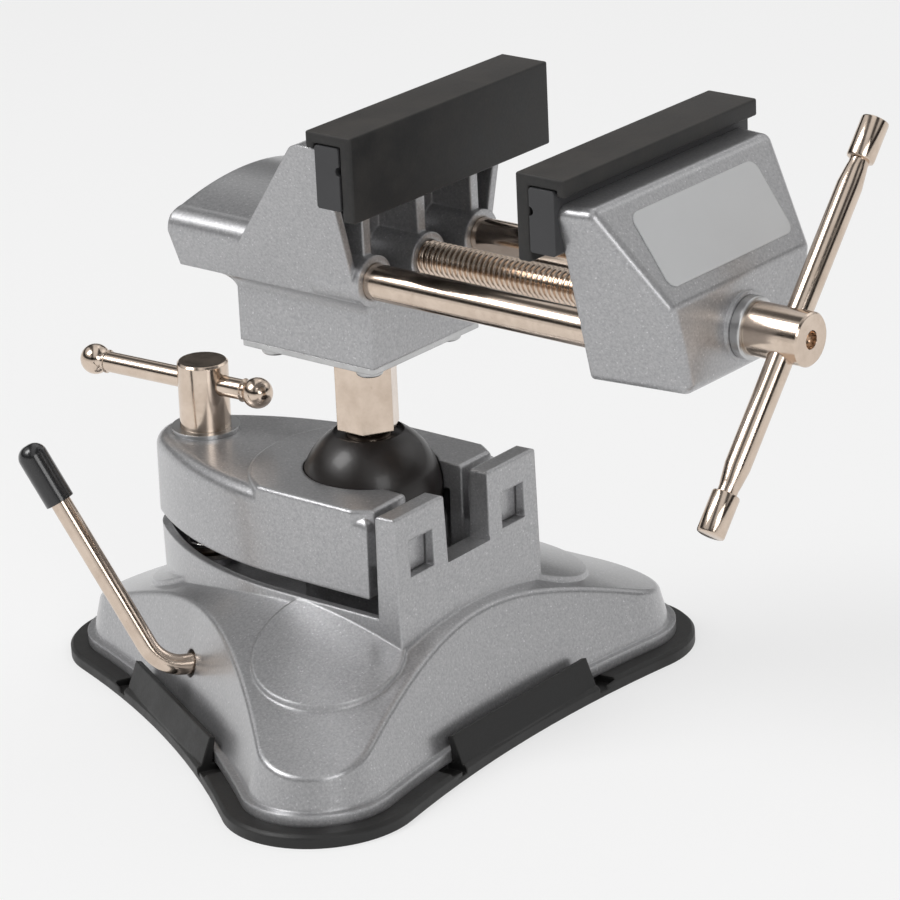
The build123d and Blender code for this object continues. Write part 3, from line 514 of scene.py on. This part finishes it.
class Piece:
    """A mesh under construction, in millimetres, that becomes one object."""

    def __init__(self, name: str) -> None:
        self.name = name
        self.mesh = bmesh.new()

    def turn(self, profile: Profile, segments: int = 48, place: Matrix = Matrix()) -> "Piece":
        """Turns a profile about Z.

        Args:
            profile: (radius, height) points in millimetres.
            segments: steps around.
            place: where the turned shape goes, in metres.

        Returns:
            The piece itself.
        """
        part = bmesh.new()
        points = [part.verts.new((radius, 0, height)) for radius, height in profile]
        edges = [part.edges.new(pair) for pair in zip(points, points[1:])]
        bmesh.ops.spin(
            part,
            geom=points + edges,
            cent=(0, 0, 0),
            axis=(0, 0, 1),
            angle=math.tau,
            steps=segments,
            use_merge=True,
        )
        bmesh.ops.remove_doubles(part, verts=part.verts, dist=1e-4)
        return self._absorb(part, place)

    def wind(
        self, profile: Profile, pitch: float, turns: int, steps: int, place: Matrix
    ) -> "Piece":
        """Winds a one-pitch profile into a screw thread about Z.

        Args:
            profile: (radius, height) points that span one pitch, in millimetres.
            pitch: advance per turn, in millimetres.
            turns: number of turns.
            steps: steps per turn.
            place: where the thread goes, in metres.

        Returns:
            The piece itself.
        """
        part = bmesh.new()
        points = [part.verts.new((radius, 0, height)) for radius, height in profile]
        edges = [part.edges.new(pair) for pair in zip(points, points[1:])]
        bmesh.ops.spin(
            part,
            geom=points + edges,
            cent=(0, 0, 0),
            axis=(0, 0, 1),
            dvec=(0, 0, pitch / steps),
            angle=math.tau * turns,
            steps=steps * turns,
        )
        bmesh.ops.remove_doubles(part, verts=part.verts, dist=1e-4)
        return self._absorb(part, place)

    def slab(self, outline: Profile, length: float, bevel: float, place: Matrix) -> "Piece":
        """Extrudes an outline along its normal with rounded edges.

        Args:
            outline: closed (x, y) points in millimetres.
            length: extrusion length, centred on the outline's plane.
            bevel: radius of the rounded edges.
            place: where the shape goes, in metres.

        Returns:
            The piece itself.
        """
        part = bmesh.new()
        points = [part.verts.new((x, y, -length / 2)) for x, y in outline]
        face = part.faces.new(points)
        grown = bmesh.ops.extrude_face_region(part, geom=[face])["geom"]
        moved = [item for item in grown if isinstance(item, bmesh.types.BMVert)]
        bmesh.ops.translate(part, vec=(0, 0, length), verts=moved)
        bmesh.ops.recalc_face_normals(part, faces=part.faces)
        if bevel:
            bmesh.ops.bevel(
                part,
                geom=part.edges[:],
                offset=bevel,
                offset_type="OFFSET",
                affect="EDGES",
                segments=3,
                profile=0.5,
                material=-1,
            )
        return self._absorb(part, place)

    def _absorb(self, part: bmesh.types.BMesh, place: Matrix) -> "Piece":
        """Moves a shape to its place and joins it to the piece."""
        bmesh.ops.recalc_face_normals(part, faces=part.faces)
        bmesh.ops.scale(part, vec=(MM, MM, MM), verts=part.verts)
        bmesh.ops.transform(part, matrix=place, verts=part.verts)
        carrier = bpy.data.meshes.new("carrier")
        part.to_mesh(carrier)
        part.free()
        self.mesh.from_mesh(carrier)
        bpy.data.meshes.remove(carrier)
        return self

    def finish(
        self, palette: Palette, slot: str, body: Body, replaced: Sequence[str] = ()
    ) -> bpy.types.Object:
        """Makes the object, dresses it and puts it on its body.

        Args:
            palette: the finishes.
            slot: the finish's slot.
            body: the body that it rides on.
            replaced: the solids that it stands for.

        Returns:
            The new object.
        """
        data = bpy.data.meshes.new(self.name)
        self.mesh.to_mesh(data)
        self.mesh.free()
        data.set_sharp_from_angle(angle=math.radians(38))
        made = bpy.data.objects.new(self.name, data)
        bpy.context.scene.collection.objects.link(made)
        palette.dress(made, slot)
        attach(made, body.value)
        if replaced:
            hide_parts(*replaced)
        LOG.info("%s: %d faces", self.name, len(data.polygons))
        return made


# ---------------------------------------------------------------------------
# Sub-assemblies
# ---------------------------------------------------------------------------


@dataclass
class LeadScrew:
    """The threaded spindle between the jaws."""

    radius: float = 3.97
    root: float = 3.15
    pitch: float = 1.411
    start: float = -12.0
    height: float = 57.5
    turns: int = 66
    end: float = 106.0
    steps: int = 24

    def build(self, palette: Palette) -> None:
        """Builds the thread and the plain journal as one piece."""
        place = HEAD @ millimetres(self.start, 0, self.height) @ turned_y(90)
        quarter = self.pitch / 8
        profile = [
            (self.root, 0),
            (self.root, quarter),
            (self.radius, quarter * 3.6),
            (self.radius, quarter * 5.2),
            (self.root, quarter * 7.8),
            (self.root, self.pitch),
        ]
        piece = Piece("threaded_spindle")
        piece.wind(profile, self.pitch, self.turns, self.steps, place)
        threaded = self.pitch * (self.turns + 1)
        end = self.end - self.start
        core = self.root + 0.02
        cone = [(0, -0.2), (self.root - 0.8, -0.2), (core, 0.9), (core, threaded - 1)]
        journal = [
            (core, threaded - 1),
            (self.radius, threaded - 1),
            (self.radius, end),
            (0, end),
        ]
        piece.turn(cone + journal, place=place)
        piece.finish(palette, "nickel", Body.SCREW, ["lead_screw"])


@dataclass
class Handle:
    """The sliding bar through the hub, with a cap on each necked end."""

    along: float = 114.0
    height: float = 57.5
    lean: float = 40.8
    shift: float = 2.2
    length: float = 93.7
    radius: float = 2.75
    neck: float = 2.1
    neck_length: float = 6.0
    cap_radius: float = 3.0
    cap_length: float = 9.2

    def build(self, palette: Palette) -> None:
        """Builds the bar and its two caps."""
        angle = math.radians(self.lean)
        axis = Vector((0, math.sin(angle), math.cos(angle)))
        middle = Vector((self.along, 0, self.height)) + axis * self.shift
        place = HEAD @ aimed(middle, axis)
        half = self.length / 2
        cap = half - self.cap_length
        bar = [
            (self.neck, -cap - 0.5),
            (self.neck, -cap + 1.2),
            (self.neck + 0.15, -cap + 2.0),
            (self.radius, -cap + self.neck_length),
            (self.radius, cap - self.neck_length),
            (self.neck + 0.15, cap - 2.0),
            (self.neck, cap - 1.2),
            (self.neck, cap + 0.5),
        ]
        rod = Piece("handle_rod").turn(bar, place=place)
        rod.finish(palette, "nickel", Body.HANDLE, ["handle_bar"])
        caps = Piece("handle_ends")
        wide = self.cap_radius
        profile = [
            (self.neck - 0.1, 0),
            (wide - 0.5, 0),
            (wide - 0.12, 0.12),
            (wide, 0.5),
            (wide, self.cap_length - 0.4),
            (wide - 0.12, self.cap_length - 0.12),
            (wide - 0.4, self.cap_length),
            (0, self.cap_length),
        ]
        for side in (-1, 1):
            caps.turn(profile, place=place @ facing_end(side) @ millimetres(0, 0, cap))
        caps.finish(palette, "nickel", Body.HANDLE, ["handle_caps"])


@dataclass
class ClampBar:
    """The short bar through the clamp screw's head, with a ball on each end."""

    along: float = -70.9
    height: float = 19.9
    turn: float = 3.3
    shift: float = -8.0
    span: float = 46.6
    radius: float = 2.4
    knob: float = 3.6

    def build(self, palette: Palette) -> None:
        """Builds the bar and its balls as turned shapes."""
        angle = math.radians(self.turn)
        axis = Vector((math.cos(angle), math.sin(angle), 0))
        middle = Vector((self.along, 0, self.height)) + axis * self.shift
        place = ARM @ aimed(middle, axis)
        half = self.span / 2
        inner = half - 3.7
        bar = [(self.radius, -inner), (self.radius, inner)]
        rod = Piece("tommy_bar").turn(bar, place=place)
        rod.finish(palette, "nickel", Body.CLAMP_BAR, ["clamp_bar"])
        profile = [
            (self.radius, inner - 0.2),
            (self.radius + 0.35, inner),
            (self.radius - 0.2, inner + 0.4),
        ]
        first = math.asin((self.radius - 0.2) / self.knob)
        for step in range(13):
            lean = math.pi - first - (math.pi - first) * step / 12
            profile.append((self.knob * math.sin(lean), half + self.knob * math.cos(lean)))
        profile[-1] = (0, half + self.knob)
        balls = Piece("tommy_balls")
        for side in (-1, 1):
            balls.turn(profile, place=place @ facing_end(side))
        balls.finish(palette, "nickel", Body.CLAMP_BAR, ["clamp_knobs"])


@dataclass
class JawCover:
    """A rubber channel over a jaw's insert."""

    name: str
    body: Body
    node: str
    face: float
    facing: int
    thickness: float = 6.6
    wall: float = 3.2
    top: float = 94.35
    bottom: float = 75.7
    ceiling: float = 91.9
    lip_bottom: float = 90.6
    half: float = 33.4

    def build(self, palette: Palette) -> None:
        """Builds the channel with softly rounded edges."""
        inner = self.thickness
        outer = inner + self.wall
        outline = [
            (outer, self.bottom),
            (outer, self.top),
            (-2.6, self.top),
            (-2.6, self.lip_bottom),
            (-0.5, self.lip_bottom),
            (-0.5, self.ceiling),
            (inner, self.ceiling),
            (inner, self.bottom),
        ]
        points = [(self.face + self.facing * x, y) for x, y in outline]
        place = HEAD @ turned_x(90)
        piece = Piece(self.name).slab(points, 2 * self.half, 0.45, place)
        piece.finish(palette, "cover_rubber", self.body, [self.node])


# ---------------------------------------------------------------------------
# Studio
# ---------------------------------------------------------------------------


@dataclass
class Studio:
    """Floor, world, lamps and camera."""

    camera_place: tuple[float, float, float] = (571.9, -690.83, 383.65)
    right: tuple[float, float, float] = (0.794803, 0.603889, -0.059895)
    up: tuple[float, float, float] = (-0.161165, 0.305245, 0.938536)
    lens: float = 171.041
    world_level: float = 0.55
    floor_grey: float = 0.86
    floor_glow: float = 0.62

    def build(self) -> None:
        """Builds everything around the vise."""
        self._world()
        self._floor()
        self._camera()
        self._lamp("key", (-0.55, -0.65, 1.05), (0, 0, 0.06), 0.55, 7.5)
        self._lamp("fill", (0.95, -0.55, 0.55), (0, 0, 0.08), 0.45, 2.6)
        self._lamp("rim", (0.25, 0.95, 0.85), (0, 0, 0.08), 1.2, 2.6)

    def _world(self) -> None:
        """A surround that is white low down, with light and dark bands above."""
        world = bpy.data.worlds.new("surround")
        bpy.context.scene.world = world
        world.use_nodes = True
        shade = Shade(world.node_tree)
        place = shade.node("TexCoord", out="Generated")
        height = shade.node("SeparateXYZ", None, {0: place}, "Z")
        rising = [(0.0, 1.0), (0.56, 1.0), (0.585, 0.02), (0.69, 0.03), (0.75, 0.75), (1.0, 1.1)]
        joined = {0: place, 1: self.right}
        across = shade.node("VectorMath", {"operation": "DOT_PRODUCT"}, joined, "Value")
        sideways = [
            (0.0, 1.0),
            (0.22, 1.0),
            (0.27, 0.14),
            (0.36, 0.14),
            (0.41, 1.0),
            (0.60, 1.0),
            (0.66, 0.08),
            (0.77, 0.10),
            (0.83, 1.0),
        ]
        low = 1 - shade.ramp(height, 0.10, 0.17)
        level = self._bands(shade, height, rising) * self._bands(shade, across, sideways).most(low)
        shown = shade.node("Background", None, {"Strength": level})
        lit = shade.node("Background", None, {"Strength": self.world_level})
        blend = shade.node("MixShader", None, {0: shade.seen(), 1: lit, 2: shown})
        output = world.node_tree.nodes.new("ShaderNodeOutputWorld")
        world.node_tree.links.new(blend.socket, output.inputs["Surface"])

    @staticmethod
    def _bands(shade: Shade, along: Value, stops: Sequence[tuple[float, float]]) -> Value:
        """Light and dark bands along a direction.

        Args:
            shade: the world's nodes.
            along: position from -1 to 1.
            stops: (place, level) pairs, with places from 0 to 1.

        Returns:
            The level at each place.
        """
        greys = [(spot, grey(level)) for spot, level in stops]
        return shade.node("ValToRGB", {"stops": greys}, {0: along * 0.5 + 0.5}, 0)

    def _floor(self) -> None:
        """A plain pale floor that fades to white and keeps the shadow."""
        part = bmesh.new()
        bmesh.ops.create_grid(part, x_segments=1, y_segments=1, size=6.0)
        data = bpy.data.meshes.new("floor")
        part.to_mesh(data)
        part.free()
        floor = bpy.data.objects.new("floor", data)
        bpy.context.scene.collection.objects.link(floor)
        made = bpy.data.materials.new("floor_paper")
        made.use_nodes = True
        shade = Shade(made.node_tree)
        paper = shade.node("BsdfDiffuse", None, {"Color": grey(self.floor_grey)})
        glow = shade.node("Emission", None, {"Color": grey(1.0), "Strength": 1.0})
        factor = shade.seen() * self.floor_glow
        shown = shade.node("MixShader", None, {0: factor, 1: paper, 2: glow})
        output = made.node_tree.nodes.new("ShaderNodeOutputMaterial")
        made.node_tree.links.new(shown.socket, output.inputs["Surface"])
        data.materials.append(made)

    def _camera(self) -> None:
        """The camera at the matched viewing angle."""
        right = Vector(self.right).normalized()
        back = right.cross(Vector(self.up)).normalized()
        up = back.cross(right)
        data = bpy.data.cameras.new("camera")
        data.sensor_width = 36.0
        data.lens = self.lens
        data.clip_start = 0.05
        data.clip_end = 50.0
        camera = bpy.data.objects.new("camera", data)
        rotation = Matrix((right, up, back)).transposed().to_4x4()
        camera.matrix_world = Matrix.Translation(Vector(self.camera_place) * MM) @ rotation
        bpy.context.scene.collection.objects.link(camera)
        bpy.context.scene.camera = camera

    @staticmethod
    def _lamp(
        name: str,
        place: tuple[float, float, float],
        target: tuple[float, float, float],
        size: float,
        power: float,
    ) -> None:
        """A soft square lamp aimed at a point.

        Args:
            name: the lamp's name.
            place: its centre, in metres.
            target: the point that it faces, in metres.
            size: side of the square, in metres.
            power: watts.
        """
        data = bpy.data.lights.new(name, "AREA")
        data.shape = "SQUARE"
        data.size = size
        data.energy = power
        lamp = bpy.data.objects.new(name, data)
        turn = (Vector(place) - Vector(target)).to_track_quat("Z", "Y").to_matrix().to_4x4()
        lamp.matrix_world = Matrix.Translation(Vector(place)) @ turn
        bpy.context.scene.collection.objects.link(lamp)


def main() -> None:
    """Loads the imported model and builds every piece."""
    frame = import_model()
    palette = Palette()
    slots = {part["node"]: part["material_slot"] for part in frame["record"]["subparts"]}
    for node, piece in frame["nodes"].items():
        palette.dress(piece, "seamless_paint" if node in FLUSH_NODES else slots[node])
    builders: list[Callable[[Palette], None]] = [
        LeadScrew().build,
        Handle().build,
        ClampBar().build,
        JawCover("back_rubber", Body.BACK_COVER, "back_cover", face=18.2, facing=1).build,
        JawCover("front_rubber", Body.FRONT_COVER, "front_cover", face=80.8, facing=-1).build,
    ]
    for build in builders:
        build(palette)
    Studio().build()
    bpy.context.scene.view_settings.view_transform = "Standard"


if __name__ == "__main__":
    main()
